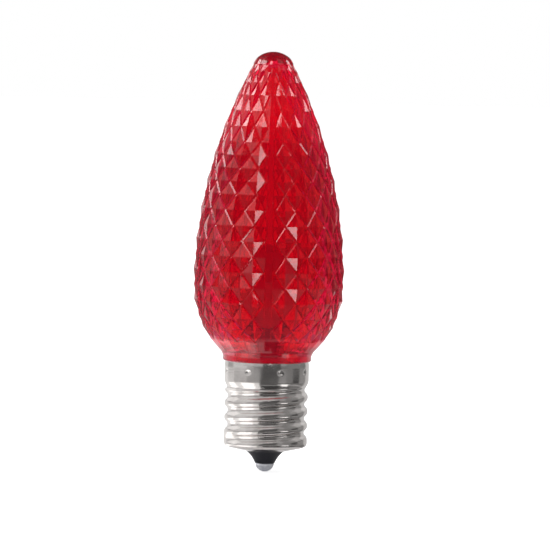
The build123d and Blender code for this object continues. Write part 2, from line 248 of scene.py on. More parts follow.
floorCards = [
    # name, azimuth from, to, radius from, to in mm, radiance, steps of half a millimetre up
    # tables: what the lens mirrors from below, far ones on the floor and near ones round its bowl
    ("tableLeftFar", -180, -15, 60, 620, 0.26, 0),
    ("tableFrontFar", -15, 28, 60, 620, 0.08, 0),
    ("tableRightFar", 28, 180, 60, 620, 0.05, 0),
    ("tableLeft", -180, -40, 10, 60, 0.36, 53),
    ("tableLeftNear", -40, -9, 10, 60, 0.18, 53),
    ("tableFrontNear", -9, 21, 10, 27, 0.16, 53),
    ("tableFront", 21, 44, 10, 60, 0.2, 53),
    ("tableRight", 44, 125, 10, 60, 0.3, 53),
    ("tableBack", 125, 180, 10, 60, 1.0, 53),
    # skirts: just under the near tables, what the thread and the collar mirror from above
    ("skirtBackLeft", -180, -95, 10, 60, 1.0, 52),
    ("skirtLeft", -95, -33, 10, 60, 0.65, 52),
    ("skirtFrontLeft", -33, -8, 10, 60, 0.5, 52),
    ("skirtFront", -8, 21, 10, 27, 0.5, 52),
    ("skirtFrontRight", 21, 50, 10, 60, 0.36, 52),
    ("skirtRight", 50, 92, 10, 60, 0.24, 52),
    ("skirtSideRight", 92, 125, 10, 60, 0.4, 52),
    ("skirtBackRight", 125, 180, 10, 60, 0.7, 52),
    # benches: what the thread mirrors from below
    ("benchBackLeft", -180, -125, 12, 60, 0.95, 0),
    ("benchSideLeft", -125, -95, 12, 60, 1.6, 0),
    ("benchLeft", -95, -72, 12, 60, 0.9, 0),
    ("benchNearLeft", -72, -33, 12, 60, 1.6, 0),
    ("benchFrontLeft", -33, -18, 12, 60, 0.9, 0),
    ("benchFront", -18, 35, 12, 60, 0.05, 0),
    ("benchRight", 35, 72, 12, 60, 0.12, 0),
    ("benchSpot", 40, 60, 24, 40, 1.5, 1),
    ("benchRingFront", 28, 40, 28, 40, 0.5, 1),
    ("benchRingRight", 60, 125, 30, 38, 0.4, 1),
    ("benchSideRight", 72, 125, 12, 60, 0.2, 0),
    ("benchBackRight", 125, 180, 12, 60, 0.6, 0),
    # a dark flag and level glints, which go on where the upright ones end
    ("tableFlag", -38, -30.5, 60, 240, 0.02, 1),
    ("glintFloor", 5.2, 11.4, 98, 149, 5.0, 1),
    ("glintFloorRight", 12.3, 17.8, 62, 98, 5.0, 1),
    ("shelfLeft", 5.5, 11.4, 155, 225, 5.0, 32),
    ("shelfRight", 12.3, 17.8, 102, 142, 5.0, 32),
    ("shelfFar", 12.3, 17.8, 255, 440, 5.0, 32),
]


def stageObject(name, mesh, material):
    obj = bpy.data.objects.new(name, mesh)
    bpy.context.scene.collection.objects.link(obj)
    obj.data.materials.append(material)
    return obj


def seenBy(tree, camera, glossy, through, otherwise):
    # one value for each kind of ray
    path = addNode(tree, "ShaderNodeLightPath")
    shown = addNode(
        tree, "ShaderNodeMapRange", {"To Min": otherwise, "To Max": glossy},
        [(path.outputs["Is Glossy Ray"], "Value")],
    )
    for kind, value in (("Is Transmission Ray", through), ("Is Camera Ray", camera)):
        shown = addNode(
            tree, "ShaderNodeMapRange", {"To Max": value},
            [(path.outputs[kind], "Value"), (shown.outputs[0], "To Min")],
        )
    return shown.outputs[0]


def makeWorld(s):
    world = bpy.data.worlds.new("whiteStudio")
    bpy.context.scene.world = world
    world.use_nodes = True
    tree = world.node_tree
    tree.nodes.clear()
    strength = seenBy(tree, 1.0, 1.0, s["worldThrough"], s["worldLight"])
    back = addNode(tree, "ShaderNodeBackground", {"Color": (1, 1, 1, 1)}, [(strength, "Strength")])
    output = addNode(tree, "ShaderNodeOutputWorld")
    tree.links.new(back.outputs[0], output.inputs["Surface"])


def makeFloor(s):
    material, tree, shader = newMaterial(
        "paperSweep", {"Base Color": linearColor(s["floorColor"]), "Roughness": 0.8}
    )
    lift = seenBy(tree, s["floorCamera"], 0.0, s["floorThrough"], 0.0)
    glow = addNode(tree, "ShaderNodeEmission", {"Color": (1, 1, 1, 1)}, [(lift, "Strength")])
    both = addNode(tree, "ShaderNodeAddShader")
    tree.links.new(shader.outputs[0], both.inputs[0])
    tree.links.new(glow.outputs[0], both.inputs[1])
    tree.links.new(both.outputs[0], tree.nodes["Material Output"].inputs["Surface"])
    half = s["floorSide"] / 2
    mesh = bpy.data.meshes.new("floor")
    corners = [(-half, -half, 0), (half, -half, 0), (half, half, 0), (-half, half, 0)]
    mesh.from_pydata(corners, [], [(0, 1, 2, 3)])
    stageObject("floor", mesh, material)


def makeCard(s, name, radiance, placeAt):
    # a patch that only reflections see: placeAt gives a point for shares from 0 to 1
    material = newMaterial(name, {
        "Base Color": (0, 0, 0, 1), "Specular IOR Level": 0.0,
        "Emission Color": (1, 1, 1, 1), "Emission Strength": radiance,
    })[0]
    steps = s["cardSteps"]
    row = steps + 1
    verts = [placeAt(i / steps, j / steps) for j in range(row) for i in range(row)]
    faces = [
        (j * row + i, j * row + i + 1, (j + 1) * row + i + 1, (j + 1) * row + i)
        for j in range(steps) for i in range(steps)
    ]
    mesh = bpy.data.meshes.new(name)
    mesh.from_pydata(verts, [], faces)
    card = stageObject(name, mesh, material)
    card.visible_camera = card.visible_diffuse = False
    card.visible_transmission = card.visible_shadow = False


def makeTent(s, dome, upright, floor):
    for name, left, right, low, high, radiance, step in dome:
        radius = s["tentRadius"] * (1 - s["tentStep"] * step)

        def onDome(u, v):
            a = math.radians(left + (right - left) * u)
            e = math.radians(low + (high - low) * v)
            away = radius * math.cos(e)
            return away * math.sin(a), -away * math.cos(a), s["tentMiddle"] + radius * math.sin(e)
        makeCard(s, name, radiance, onDome)
    for name, left, right, low, high, radius, radiance in upright:
        def onWall(u, v):
            a = math.radians(left + (right - left) * u)
            z = (low + (high - low) * v) * mm
            return radius * mm * math.sin(a), -radius * mm * math.cos(a), z
        makeCard(s, name, radiance, onWall)
    for name, left, right, near, far, radiance, step in floor:
        def onFloor(u, v):
            a = math.radians(left + (right - left) * u)
            r = (near + (far - near) * v) * mm
            return r * math.sin(a), -r * math.cos(a), s["cardLift"] * (1 + step)
        makeCard(s, name, radiance, onFloor)


def makeSoftBoxes(boxes):
    middle = (cadBox[0] + cadBox[1]) / 2
    for name, azimuth, elevation, distance, width, height, radiance in boxes:
        a, e = math.radians(azimuth), math.radians(elevation)
        away = Vector((math.sin(a) * math.cos(e), -math.cos(a) * math.cos(e), math.sin(e)))
        data = bpy.data.lights.new(name, "AREA")
        data.shape, data.size, data.size_y = "RECTANGLE", width, height
        data.energy = radiance * math.pi * width * height
        light = bpy.data.objects.new(name, data)
        bpy.context.scene.collection.objects.link(light)
        light.location = middle + away * distance
        light.rotation_mode = "QUATERNION"
        light.rotation_quaternion = away.to_track_quat("Z", "Y")
        light.visible_camera = light.visible_glossy = light.visible_transmission = False


makeWorld(studio)
makeFloor(studio)
makeTent(studio, domeCards, uprightCards, floorCards)
makeSoftBoxes(softBoxes)
print("studio set")

# Materials

polycarbonate = {
    "ior": 1.585,
    "colors": ("#FF1640", "#E60E3C"),    # a brighter red at the bowl and the tip, painted light, and the plain red between them
    "paintedLightHeights": (24, 34, 57, 75),    # in mm: the change over the bowl, and the one to the tip
    "through": (0.78, 0.9, 0.86),        # share of light that passes clear: bowl, middle, tip; less at the bowl and the tip, which brightens them as painted light
    "paintedLightThroughHeights": (24, 32, 56, 74),
    "roughness": (0.04, 0.07),
    "cloudMm": 4.0,
    "rippleMm": 2.2,
    "rippleDepthMm": 0.012,
}


def makePolycarbonate(m):
    # polycarbonate, injection moulded and dyed clear red: a deep glow inside, and polished faces
    # with a faint flow ripple
    material, tree, shader = newMaterial("polycarbonateMouldedRed", {"IOR": m["ior"]})
    coords = addNode(tree, "ShaderNodeTexCoord")
    axes = addNode(tree, "ShaderNodeSeparateXYZ", links=[(coords.outputs["Object"], "Vector")])

    def alongHeight(heights, values):
        # three values one above the other, with a soft change over the bowl and another below the tip
        bowl = addNode(tree, "ShaderNodeMapRange", {
            "From Min": heights[0] * mm, "From Max": heights[1] * mm,
            "To Min": values[0], "To Max": values[1],
        }, [(axes.outputs["Z"], "Value")])
        tip = addNode(tree, "ShaderNodeMapRange", {
            "From Min": heights[2] * mm, "From Max": heights[3] * mm, "To Max": values[2],
        }, [(axes.outputs["Z"], "Value"), (bowl.outputs[0], "To Min")])
        return tip.outputs[0]

    # painted light: the bowl and the tip pass less light clear and are given a brighter red, so that
    # they look more brightly lit than the flank between them
    tree.links.new(alongHeight(m["paintedLightThroughHeights"], m["through"]), shader.inputs["Transmission Weight"])
    applyPattern(tree, shader, alongHeight(m["paintedLightHeights"], (0.0, 1.0, 0.0)), colors=m["colors"])
    applyPattern(tree, shader, grainPattern(tree, m["cloudMm"]), roughness=m["roughness"])
    applyPattern(tree, shader, grainPattern(tree, m["rippleMm"], 1), depthMm=m["rippleDepthMm"])
    return material


nickelPlate = {
    "colors": ("#D9D3D0", "#E8E3E0"),
    "roughness": (0.13, 0.21),
    "cloudMm": 3.0,
    "lineMm": 0.35,    # true draw lines are finer than the render shows
    "lineStretch": (0.08, 0.08, 1.0),
    "lineDepthMm": 0.008,
}


def makeNickel(m):
    # nickel-plated brass sheet, drawn and thread-rolled: bright, with faint draw lines round it
    material, tree, shader = newMaterial("nickelPlatedBrassRolled", {"Metallic": 1.0})
    applyPattern(tree, shader, grainPattern(tree, m["cloudMm"]), m["colors"], m["roughness"])
    lines = grainPattern(tree, m["lineMm"], 2, m["lineStretch"])
    applyPattern(tree, shader, lines, depthMm=m["lineDepthMm"])
    return material


boardLaminate = {
    "ior": 1.5,
    "roughness": 0.45,
    "colors": ("#EDEDE4", "#F6F6EE"),
    "cloudMm": 3.0,
    "weaveMm": 3.158,    # a true weave of half a millimetre or so is too fine to show
    "weaveWobble": 0.5,
    "weaveDepthMm": 0.01,
}


def makeLaminate(m):
    # glass-epoxy laminate under white solder mask: satin, with the weave just showing
    material, tree, shader = newMaterial(
        "glassEpoxyLaminateMasked", {"Roughness": m["roughness"], "IOR": m["ior"]}
    )
    applyPattern(tree, shader, grainPattern(tree, m["cloudMm"]), m["colors"])
    coords = addNode(tree, "ShaderNodeTexCoord")
    scale = math.tau / 20 / (m["weaveMm"] * mm)    # at scale 1 twenty radians of wave fill a metre
    weave = addNode(
        tree, "ShaderNodeTexWave", {"Scale": scale, "Distortion": m["weaveWobble"]},
        [(coords.outputs["Object"], "Vector")],
    )
    applyPattern(tree, shader, weave.outputs["Fac"], depthMm=m["weaveDepthMm"])
    return material


# finishes in which one grain sways colour, roughness and height together
phenolicResin = {
    # phenolic resin, compression moulded: near black, satin, with a fine filler grain
    "name": "phenolicMouldedBlack", "base": {"IOR": 1.6, "Specular IOR Level": 0.25},
    "grainMm": 0.25, "detail": 4,
    "colors": ("#17171D", "#24242C"), "roughness": (0.36, 0.5), "depthMm": 0.01,
}
tinSolder = {
    # tin solder, dipped: bright grey with a lumpy frozen skin
    "name": "tinSolderDipped", "base": {"Metallic": 1.0},
    "grainMm": 0.8, "detail": 4,
    "colors": ("#D2D4DC", "#F4F5FA"), "roughness": (0.24, 0.45), "depthMm": 0.1,
}
nylonResin = {
    # nylon, injection moulded: warm white with an even, soft satin face
    "name": "nylonMouldedWhite", "base": {"IOR": 1.5},
    "grainMm": 0.5, "detail": 3,
    "colors": ("#F2F0EA", "#FAF8F3"), "roughness": (0.44, 0.56), "depthMm": 0.008,
}
polyamideResin = {
    # polyamide, injection moulded as a reflector: plain white, a little glossier than the holder
    "name": "polyamideReflectorWhite", "base": {"IOR": 1.5},
    "grainMm": 0.4, "detail": 3,
    "colors": ("#EDEDEA", "#F6F6F4"), "roughness": (0.34, 0.46), "depthMm": 0.008,
}
epoxyResin = {
    # filled epoxy, transfer moulded: near black and dull, with a very fine grain
    "name": "epoxyMouldedBlack", "base": {"IOR": 1.5},
    "grainMm": 0.2, "detail": 3,
    "colors": ("#1A1A1C", "#262628"), "roughness": (0.49, 0.61), "depthMm": 0.008,
}
aluminaBody = {
    # alumina, pressed and fired, with a dark coat: deep grey, finely granular
    "name": "aluminaFiredDark", "base": {"IOR": 1.5},
    "grainMm": 0.3, "detail": 3,
    "colors": ("#2A2A30", "#3A3A42"), "roughness": (0.39, 0.51), "depthMm": 0.008,
}


def makeGrained(m):
    material, tree, shader = newMaterial(m["name"], m["base"])
    grain = grainPattern(tree, m["grainMm"], m["detail"])
    applyPattern(tree, shader, grain, m["colors"], m["roughness"], m["depthMm"])
    return material


polycarbonateRed = makePolycarbonate(polycarbonate)
nickel = makeNickel(nickelPlate)
laminate = makeLaminate(boardLaminate)
phenolic = makeGrained(phenolicResin)
solder = makeGrained(tinSolder)
nylon = makeGrained(nylonResin)
polyamide = makeGrained(polyamideResin)
epoxy = makeGrained(epoxyResin)
alumina = makeGrained(aluminaBody)
print("materials made")

# Lens, with the sizes of its CAD solid in millimetres
lensLow, lensHigh = (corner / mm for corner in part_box("lens"))
shellLow, shellHigh = (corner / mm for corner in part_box("screw_shell"))
lens = {
    "lipHeight": 2.0, "lipRadius": 8.75, "lipTopRadius": 9.38,
    "neckRadius": 7.9, "neckBore": 6.4,
    "bellyRadius": 14.95, "bellyRise": 15.0, "crownRadius": 3.9,
    "rowCounts": [3, 8, 4, 3, 1, 1, 1],
    "rowHeights": [2.3, 3.04, 2.55, 3.05, 2.5, 2.0, 1.55],
    "columnsPerHalf": 9, "stripHalfAngle": 2.8, "grooveSetback": 1.4,
    "facetSlope": 0.18, "fadeLevels": 3,
    "crownSkirt": 1.0, "crownShoulderRadius": 3.5, "crownRound": 0.45,
    "wall": 2.2, "tipWall": 3.0, "cavityDome": 0.55, "edgeStep": 0.1,
    "lipRound": 0.12, "lipStepFoot": 0.15, "lipStepTop": 0.25,
    "grooveHalfWidth": 0.26, "grooveDepth": 0.15, "sharpAngle": 34,
    "ringSplits": 3, "stripSplits": 4, "bendSteps": 6, "crownSteps": 12,
    "bowlSteps": 10, "flankSteps": 24, "cavityDomeSteps": 8,
}


def arcThrough(run, rise):
    # radius of the arc that starts upright and moves in by run over the height rise
    return (run * run + rise * rise) / (2 * run)


def bend(start, corner, end, steps, first=0):
    # points of a soft corner in an outline
    shares = [i / steps for i in range(first, steps + 1)]
    return [tuple(start * (1 - t) ** 2 + corner * 2 * t * (1 - t) + end * t * t) for t in shares]


def domeLine(edge, top, arc, steps):
    # points of a dome from near its edge to near its top, where the arc lies level
    radii = [edge * (1 - i / steps) for i in range(1, steps)]
    return [(r, top - arc + math.sqrt(arc * arc - r * r)) for r in radii]


class LensForm:
    # heights and outline of the lens, worked out from its sizes
    def __init__(self, s):
        self.rim = shellHigh.z
        self.foot = self.rim + s["lipHeight"]
        self.levels = [self.foot]
        for count, height in zip(s["rowCounts"], s["rowHeights"]):
            for _ in range(count):
                self.levels.append(self.levels[-1] + height)
        self.top = self.levels[-1]
        self.belly = self.rim + s["bellyRise"]
        self.bellyRadius = s["bellyRadius"]
        self.flankArc = arcThrough(s["bellyRadius"] - s["crownRadius"], self.top - self.belly)
        self.bowlArc = arcThrough(s["bellyRadius"] - s["lipTopRadius"], self.belly - self.foot)
        self.halfColumn = (180 - 2 * s["stripHalfAngle"]) / s["columnsPerHalf"] / 2
        self.lastColumn = 2 * s["columnsPerHalf"]

    def outline(self, z, inset=0.0):
        arc = self.flankArc if z > self.belly else self.bowlArc
        return self.bellyRadius - arc + math.sqrt((arc - inset) ** 2 - (z - self.belly) ** 2)


def pointAt(radius, angle, side, z):
    # a point by its angle in degrees from the front, on the right (1) or the left (-1) side
    a = math.radians(angle)
    return Vector((side * radius * math.sin(a), -radius * math.cos(a), z)) * mm


def isCrossing(level, column):
    return (level + column) % 2 == 0


def latticePoint(form, s, level, column, side):
    # grooves cross at every second point, and a pyramid's tip lies between two crossings
    radius = form.outline(form.levels[level])
    angle = s["stripHalfAngle"] + column * form.halfColumn
    if isCrossing(level, column):
        fade = min(1.0, level / s["fadeLevels"])
        radius -= fade * s["facetSlope"] * radius * math.radians(form.halfColumn)
        if column == 0:
            angle += s["grooveSetback"]
        if column == form.lastColumn:
            angle -= s["grooveSetback"]
    return pointAt(radius, angle, side, form.levels[level])


def ringAngles(form, s):
    # turn angles round the whole lens: the lattice's columns, each split for the smooth rings
    stops = []
    half = s["stripHalfAngle"]
    for start in (0, 180):
        stops += [start - half + 2 * half * i / s["stripSplits"] for i in range(s["stripSplits"])]
        splits = s["ringSplits"] * form.lastColumn
        stops += [start + half + (180 - 2 * half) * i / splits for i in range(splits)]
    return stops


def crownProfile(form, s):
    # skirt, small round and dome, from the last groove up to the tip
    skirtTop = form.top + s["crownSkirt"]
    shoulder, tip = s["crownShoulderRadius"], lensHigh.z
    dome = arcThrough(tip - skirtTop, shoulder)
    points = [(s["crownRadius"] + s["edgeStep"], form.top)]
    skirt = Vector((shoulder - points[0][0], skirtTop - form.top)).normalized()
    corner = Vector((shoulder, skirtTop))
    reach = shoulder - s["crownRound"]
    after = Vector((reach, tip - dome + math.sqrt(dome * dome - reach * reach)))
    points += bend(corner - skirt * s["crownRound"], corner, after, s["bendSteps"])
    points += domeLine(reach, tip, dome, s["crownSteps"])
    return points, tip


def neckProfile(form, s):
    # from the last lattice level down over the lip and neck, then up inside to the cavity's top
    rim, neckFoot = form.rim, lensLow.z
    lipMiddle = rim + s["lipHeight"] / 2
    innerArc = form.bowlArc - s["wall"]
    boreReach = s["neckBore"] - s["bellyRadius"] + form.bowlArc
    meets = form.belly - math.sqrt(innerArc ** 2 - boreReach ** 2)    # the bore runs into the bowl here
    cavityTop = lensHigh.z - s["tipWall"]
    shoulder = cavityTop - s["cavityDome"]
    points = [
        (s["lipTopRadius"] - s["edgeStep"], form.foot),
        (s["lipRadius"] + s["lipRound"], lipMiddle + s["lipStepTop"]),
        (s["lipRadius"], lipMiddle - s["lipStepFoot"]),
        (s["lipRadius"], rim + s["lipRound"]),
        (s["lipRadius"] - s["lipRound"], rim),
        (s["neckRadius"], rim),
        (s["neckRadius"], neckFoot),
        (s["neckBore"], neckFoot),
    ]
    aboveBelly = form.belly + 1e-6    # a hair higher, so that the flank's arc is the one used
    inside = [meets + (form.belly - meets) * i / s["bowlSteps"] for i in range(s["bowlSteps"])]
    inside += [
        aboveBelly + (shoulder - form.belly) * i / s["flankSteps"] for i in range(s["flankSteps"] + 1)
    ]
    points += [(form.outline(z, s["wall"]), z) for z in inside]
    edge = points[-1][0]
    points += domeLine(edge, cavityTop, arcThrough(cavityTop - shoulder, edge), s["cavityDomeSteps"])
    return points, cavityTop


def smoothAll(bm, sharpAngle):
    # smooth faces, with hard edges only where two of them meet at more than the angle in degrees
    for face in bm.faces:
        face.smooth = True
    bmesh.ops.recalc_face_normals(bm, faces=bm.faces)
    for edge in bm.edges:
        if edge.calc_face_angle(0) > math.radians(sharpAngle):
            edge.smooth = False


def toMesh(name, bm):
    mesh = bpy.data.meshes.new(name)
    bm.to_mesh(mesh)
    openEdges = sum(1 for e in bm.edges if len(e.link_faces) != 2)
    print(name + ":", len(bm.faces), "faces,", openEdges, "open edges")
    bm.free()
    return mesh


def makeLens(s):
    form = LensForm(s)
    bm = bmesh.new()
    count = len(form.levels)
    lattice, strips = {}, {}
    for level in range(count):
        for side in (1, -1):
            for column in range(form.lastColumn + 1):
                lattice[level, side, column] = bm.verts.new(latticePoint(form, s, level, column, side))
        z = form.levels[level]
        for end, centre in ((0, 0.0), (1, 180.0)):
            row = []
            for i in range(s["stripSplits"] + 1):
                angle = centre - s["stripHalfAngle"] + 2 * s["stripHalfAngle"] * i / s["stripSplits"]
                edgeColumn = 0 if end == 0 else form.lastColumn
                side = -1 if (i == 0) == (end == 0) else 1
                if i in (0, s["stripSplits"]) and not isCrossing(level, edgeColumn):
                    row.append(lattice[level, side, edgeColumn])    # the strip's edge is a pyramid's tip
                else:
                    row.append(bm.verts.new(pointAt(form.outline(z), angle, 1, z)))
            strips[level, end] = row

    smooth = []
    for level in range(count - 1):
        for side in (1, -1):
            for column in range(form.lastColumn):
                low, lowNext = lattice[level, side, column], lattice[level, side, column + 1]
                high, highNext = lattice[level + 1, side, column], lattice[level + 1, side, column + 1]
                if isCrossing(level, column):
                    bm.faces.new((low, lowNext, highNext))
                    bm.faces.new((low, highNext, high))
                else:
                    bm.faces.new((low, lowNext, high))
                    bm.faces.new((lowNext, highNext, high))
        for end, edgeColumn in ((0, 0), (1, form.lastColumn)):
            row, rowNext = strips[level, end], strips[level + 1, end]
            for i in range(s["stripSplits"]):
                smooth.append(bm.faces.new((row[i], row[i + 1], rowNext[i + 1], rowNext[i])))
            inner = level if isCrossing(level, edgeColumn) else level + 1
            for side in (1, -1):
                i = 0 if (side == -1) == (end == 0) else s["stripSplits"]
                bm.faces.new((row[i], rowNext[i], lattice[inner, side, edgeColumn]))

    def boundary(level):
        # the closed ring of the lattice at one level, from the left edge of the front strip
        front, back = strips[level, 0], strips[level, 1]
        ring = list(front)
        ring += [lattice[level, 1, c] for c in range(form.lastColumn + 1)]
        ring += list(back)
        ring += [lattice[level, -1, c] for c in range(form.lastColumn, -1, -1)]
        return [v for i, v in enumerate(ring) if v is not ring[i - 1]]

    angles = ringAngles(form, s)

    def addRing(radius, z):
        return [bm.verts.new(pointAt(radius, a, 1, z)) for a in angles]

    def turnOf(vert):
        # angle from the front strip's left edge, with a little slack for the point on that edge
        slack = 0.01
        angle = math.degrees(math.atan2(vert.co.x, -vert.co.y))
        return (angle + s["stripHalfAngle"] + slack) % 360 - slack

    def stitch(inner, outer):
        # closes the step between the lattice's ring and a smooth ring, walking both by angle
        a, b = sorted(inner, key=turnOf), sorted(outer, key=turnOf)

        def nextTurn(ring, k):
            if k + 1 < len(ring):
                return turnOf(ring[k + 1])
            return 360 if k < len(ring) else math.inf

        i = j = 0
        while i < len(a) or j < len(b):
            nextA, nextB = nextTurn(a, i), nextTurn(b, j)
            if nextA <= nextB and i < len(a):
                bm.faces.new((a[i], b[j % len(b)], a[(i + 1) % len(a)]))
                i += 1
            else:
                bm.faces.new((a[i % len(a)], b[j], b[(j + 1) % len(b)]))
                j += 1

    def revolve(first, points, tipZ):
        ring = first
        for radius, z in points:
            following = addRing(radius, z)
            for i in range(len(ring)):
                j = (i + 1) % len(ring)
                smooth.append(bm.faces.new((ring[i], ring[j], following[j], following[i])))
            ring = following
        peak = bm.verts.new((0, 0, tipZ * mm))
        for i in range(len(ring)):
            smooth.append(bm.faces.new((ring[i], ring[(i + 1) % len(ring)], peak)))

    crown, tip = crownProfile(form, s)
    crownRing = addRing(*crown[0])
    stitch(boundary(count - 1), crownRing)
    revolve(crownRing, crown[1:], tip)
    neck, cavityTop = neckProfile(form, s)
    neckRing = addRing(*neck[0])
    stitch(boundary(0), neckRing)
    revolve(neckRing, neck[1:], cavityTop)

    for face in bm.faces:
        face.smooth = False
    for face in smooth:
        face.smooth = True
    crossings = {
        v for (level, side, column), v in lattice.items()
        if isCrossing(level, column) and 0 < level < count - 1
    }
    grooves = [e for e in bm.edges if e.verts[0] in crossings and e.verts[1] in crossings]
    bmesh.ops.recalc_face_normals(bm, faces=bm.faces)
    cut = bmesh.ops.bevel(
        bm, geom=grooves, offset=s["grooveHalfWidth"] * mm, offset_type="OFFSET",
        segments=2, profile=0.5, affect="EDGES", clamp_overlap=True,
    )
    cutFaces = set(cut["faces"])
    for face in cutFaces:
        face.smooth = False
    for v in {v for face in cutFaces for v in face.verts}:
        if all(face in cutFaces for face in v.link_faces):
            inward = Vector((v.co.x, v.co.y, 0)).normalized()    # the middle of each groove lies deeper
            v.co -= inward * s["grooveDepth"] * mm
    for edge in bm.edges:
        first, second = edge.link_faces
        if first.smooth != second.smooth or edge.calc_face_angle(0) > math.radians(s["sharpAngle"]):
            edge.smooth = False
    return toMesh("bulbLens", bm)


def addPiece(name, mesh, material, node):
    obj = bpy.data.objects.new(name, mesh)
    bpy.context.scene.collection.objects.link(obj)
    obj.data.materials.append(material)
    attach(obj, "root")
    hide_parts(node)


addPiece("bulbLens", makeLens(lens), polycarbonateRed, "lens")
print("lens made")

# Screw shell: thread-rolled sheet, in millimetres
shell = {
    "sheet": 0.3, "holeRadius": 3.95, "footRise": 0.75, "footCorner": 0.95, "footBend": 0.2,
    "threadRadius": 8.25, "rootRadius": 7.6, "pitch": 2.822, "turns": 3.75, "startAngle": -90,
    "footBand": 2.35, "grooveRadius": 0.8, "crestRound": 0.95, "runOut": 35, "threadLead": 0.2,
    "shoulderRise": 1.4, "shoulderOverlap": 0.4, "shoulderOut": 0.35, "shoulderUp": 0.45,
    "collarRadius": 8.35, "collarHeight": 4.0, "collarBendBelow": 0.3, "collarBendAbove": 0.35,
    "rimRound": 0.14, "rimLean": 0.08, "rimBand": 1.05,
    "dimpleCount": 8, "dimpleRadius": 0.6, "dimpleDepth": 0.3, "dimpleDrop": 2.0, "dimpleStart": 19,
    "segments": 216, "ringStep": 0.13, "floorSteps": 6, "bendSteps": 8, "collarSteps": 16, "rimSteps": 6,
    "sharpAngle": 45,
}


def shellProfile(s):
    # outer line of the shell from the edge of its floor up to the rim, before the thread is rolled
    foot, rim = shellLow.z, shellHigh.z
    floorTop = foot + s["footRise"]
    wallFoot = floorTop + s["footCorner"]
    cornerRadius = s["threadRadius"] - s["footCorner"]
    collarFoot = rim - s["collarHeight"]
    shoulderFoot = collarFoot - s["shoulderRise"]
    wallTop = shoulderFoot - s["shoulderOverlap"]
    bandFoot = rim - s["rimBand"]
    # the sloping floor and its corner
    steps, width = s["floorSteps"], cornerRadius - s["holeRadius"]
    points = [
        (s["holeRadius"] + width * i / steps, foot + s["footRise"] * i / steps) for i in range(steps)
    ]
    points += bend(
        Vector((cornerRadius, floorTop)), Vector((s["threadRadius"], floorTop + s["footBend"])),
        Vector((s["threadRadius"], wallFoot)), s["bendSteps"],
    )
    # the wall that takes the thread
    length = wallTop - wallFoot
    steps = round(length / s["ringStep"])
    points += [(s["threadRadius"], wallFoot + length * i / steps) for i in range(1, steps + 1)]
    # the shoulder: in to the root and out to the collar, with soft corners
    knots = [
        Vector((s["threadRadius"], wallTop)),
        Vector((s["rootRadius"], shoulderFoot)),
        Vector((s["rootRadius"] + s["shoulderOut"], shoulderFoot + s["shoulderUp"])),
        Vector((s["collarRadius"], collarFoot - s["collarBendBelow"])),
        Vector((s["collarRadius"], collarFoot + s["collarBendAbove"])),
    ]
    points += bend(*knots[:3], s["bendSteps"], 1) + bend(*knots[2:], s["bendSteps"], 1)
    # the collar
    steps = s["collarSteps"]
    length = bandFoot - collarFoot - s["collarBendAbove"]
    points += [
        (s["collarRadius"], collarFoot + s["collarBendAbove"] + length * i / steps)
        for i in range(1, steps + 1)
    ]
    # the band under the rim, which leans in a little, and the rim's round edge
    steps = s["rimSteps"]
    top = Vector((s["collarRadius"] - s["rimLean"], rim - s["rimRound"]))
    length = top.y - bandFoot
    points += [
        (s["collarRadius"] - s["rimLean"] * (i / steps) ** 1.5, bandFoot + length * i / steps)
        for i in range(1, steps + 1)
    ]
    points += [
        (top.x - s["rimRound"] * (1 - math.cos(a)), top.y + s["rimRound"] * math.sin(a))
        for a in (math.radians(90 * i / steps) for i in range(1, steps + 1))
    ]
    return points, wallFoot


def threadRadiusAt(s, z, angle, firstGroove):
    # the rolled thread: round grooves, round crests, run out at both ends
    turn = (angle - s["startAngle"]) / 360
    crest = s["crestRound"]
    grooveAxis = s["rootRadius"] + s["grooveRadius"]
    bothArcs = s["grooveRadius"] + crest
    crestRise = math.sqrt(bothArcs ** 2 - (grooveAxis - s["threadRadius"] + crest) ** 2)
    joinRise = crestRise * (s["grooveRadius"] / bothArcs)    # the groove's arc meets the crest's here
    rise = (z - firstGroove) / s["pitch"]
    lap = min(max(round(rise - (turn % 1)), 0), math.ceil(s["turns"]))
    wound = lap + turn % 1
    offset = abs(z - firstGroove - wound * s["pitch"])
    if offset < joinRise:
        radius = grooveAxis - math.sqrt(s["grooveRadius"] ** 2 - offset ** 2)
    elif offset < crestRise:
        radius = s["threadRadius"] - crest + math.sqrt(crest ** 2 - (offset - crestRise) ** 2)
    else:
        radius = s["threadRadius"]
    lead = s["runOut"] / 360
    fade = min(1.0, max(0.0, wound / lead)) * min(1.0, max(0.0, (s["turns"] - wound) / lead))
    fade = fade * fade * (3 - 2 * fade)
    return s["threadRadius"] + (radius - s["threadRadius"]) * fade


def dimpledRadius(s, radius, z, angle):
    # a punched dimple pushes the collar in where it is near
    apart = 360 / s["dimpleCount"]
    near = (angle - s["dimpleStart"] + apart / 2) % apart - apart / 2
    aside = math.radians(near) * s["collarRadius"]
    reach = math.hypot(aside, z - (shellHigh.z - s["dimpleDrop"]))
    if reach >= s["dimpleRadius"]:
        return radius
    axis = s["collarRadius"] - s["dimpleDepth"] + s["dimpleRadius"]
    return min(radius, axis - math.sqrt(s["dimpleRadius"] ** 2 - reach ** 2))


